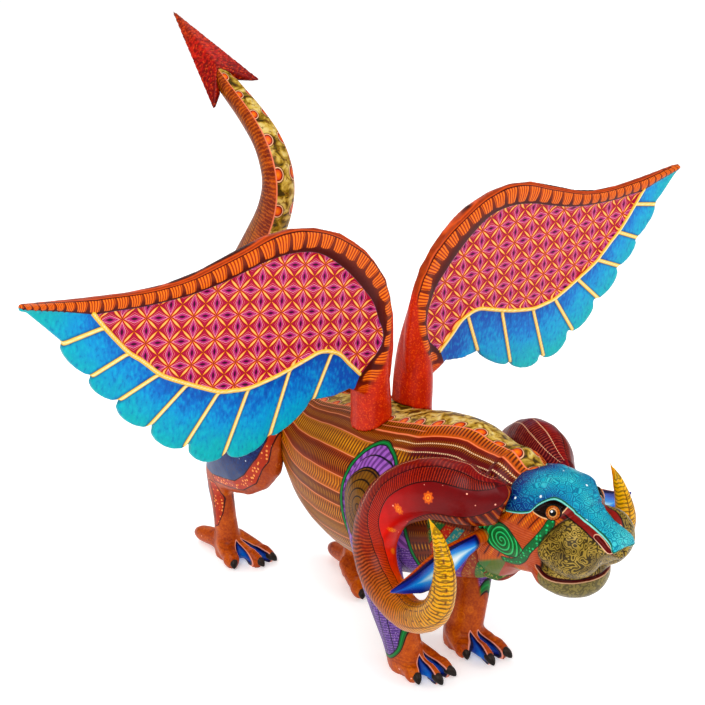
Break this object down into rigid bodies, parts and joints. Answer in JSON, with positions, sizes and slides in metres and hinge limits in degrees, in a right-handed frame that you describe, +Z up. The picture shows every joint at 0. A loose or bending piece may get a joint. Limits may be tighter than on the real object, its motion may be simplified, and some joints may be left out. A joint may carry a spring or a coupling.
{
  "type": "carved alebrije figure",
  "caption": "Carved and painted wooden alebrije: a winged ram on four clawed legs, with curled horns, leaf ears and a raised tail with an arrowhead.",
  "frame": {"origin": "on the ground, under the middle of the figure's bounding box", "axes": "+Z up, the head looks along -Y, the creature's left wing at +X"},
  "size_m": [0.6016, 0.5187, 0.4563],
  "materials": {
    "torso_paint": "hand-painted matt acrylic in brown, orange and gold stripes, thinly varnished",
    "limb_paint": "orange-brown acrylic shaded by hand, satin varnish",
    "mask_paint": "turquoise to navy acrylic with fine brushed curls, satin varnish",
    "horn_paint": "plum to bright red acrylic with brushed hatching, satin varnish",
    "ear_paint": "blue acrylic shaded to white, glossier varnish",
    "wing_paint": "crimson acrylic with a lattice of painted stars and blue feathers, satin varnish",
    "tail_paint": "orange-brown and gold acrylic, satin varnish",
    "arrowhead_paint": "red-orange acrylic, satin varnish",
    "bare_copal": "bare sanded copal wood"
  },
  "bodies": {
    "figure": {"torso": "torso_paint", "head": "mask_paint", "neck_dowel": "bare_copal", "horn_right": "horn_paint", "horn_left": "horn_paint", "horn_dowel_right": "bare_copal", "horn_dowel_left": "bare_copal", "front_leg_right": "limb_paint", "front_leg_left": "limb_paint", "hind_leg_right": "limb_paint", "hind_leg_left": "limb_paint", "front_dowel_right": "bare_copal", "front_dowel_left": "bare_copal", "hind_dowel_right": "bare_copal", "hind_dowel_left": "bare_copal"},
    "right_wing": {"wing_right": "wing_paint"},
    "left_wing": {"wing_left": "wing_paint"},
    "tail": {"tail": "tail_paint", "tail_arrowhead": "arrowhead_paint", "arrowhead_dowel": "bare_copal"},
    "right_ear": {"ear_right": "ear_paint"},
    "left_ear": {"ear_left": "ear_paint"}
  },
  "joints": [
    {"name": "right_wing_pull", "type": "slide", "parent": "figure", "child": "right_wing", "axis": [0, -0.0698, 0.9976], "range_m": [0, 0.15]},
    {"name": "left_wing_pull", "type": "slide", "parent": "figure", "child": "left_wing", "axis": [0, -0.0698, 0.9976], "range_m": [0, 0.15]},
    {"name": "tail_pull", "type": "slide", "parent": "figure", "child": "tail", "axis": [0, 0.8, 0.6], "range_m": [0, 0.1]},
    {"name": "right_ear_pull", "type": "slide", "parent": "figure", "child": "right_ear", "axis": [-0.985, 0, -0.1726], "range_m": [0, 0.1]},
    {"name": "left_ear_pull", "type": "slide", "parent": "figure", "child": "left_ear", "axis": [0.985, 0, -0.1726], "range_m": [0, 0.1]}
  ]
}
